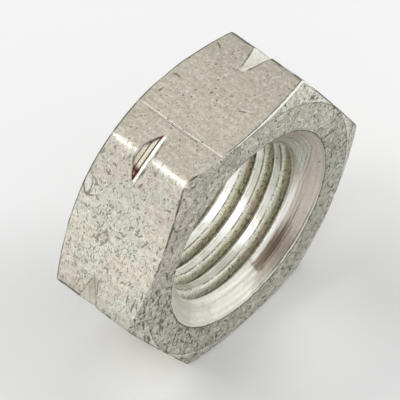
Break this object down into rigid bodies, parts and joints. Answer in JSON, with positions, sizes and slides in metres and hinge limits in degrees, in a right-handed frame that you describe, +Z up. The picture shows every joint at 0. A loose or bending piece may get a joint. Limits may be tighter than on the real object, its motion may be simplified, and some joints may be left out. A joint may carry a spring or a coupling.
{
  "type": "hex jam nut",
  "caption": "Thin hexagonal lock nut with a left-hand coarse thread, countersunk bore mouths, chamfered corners and a V notch across each corner.",
  "frame": {"origin": "under the middle of the nut, on the flat that it stands on", "axes": "bore along Y with the front face towards -Y, two corners on the X axis, +Z up"},
  "size_m": [0.055, 0.018, 0.0476],
  "materials": {
    "worn_steel": "worn, oil-darkened bare steel: pitted flats, bright rubbed corners and thread crests"
  },
  "bodies": {
    "root": {"jam_nut": "worn_steel"}
  },
  "joints": []
}
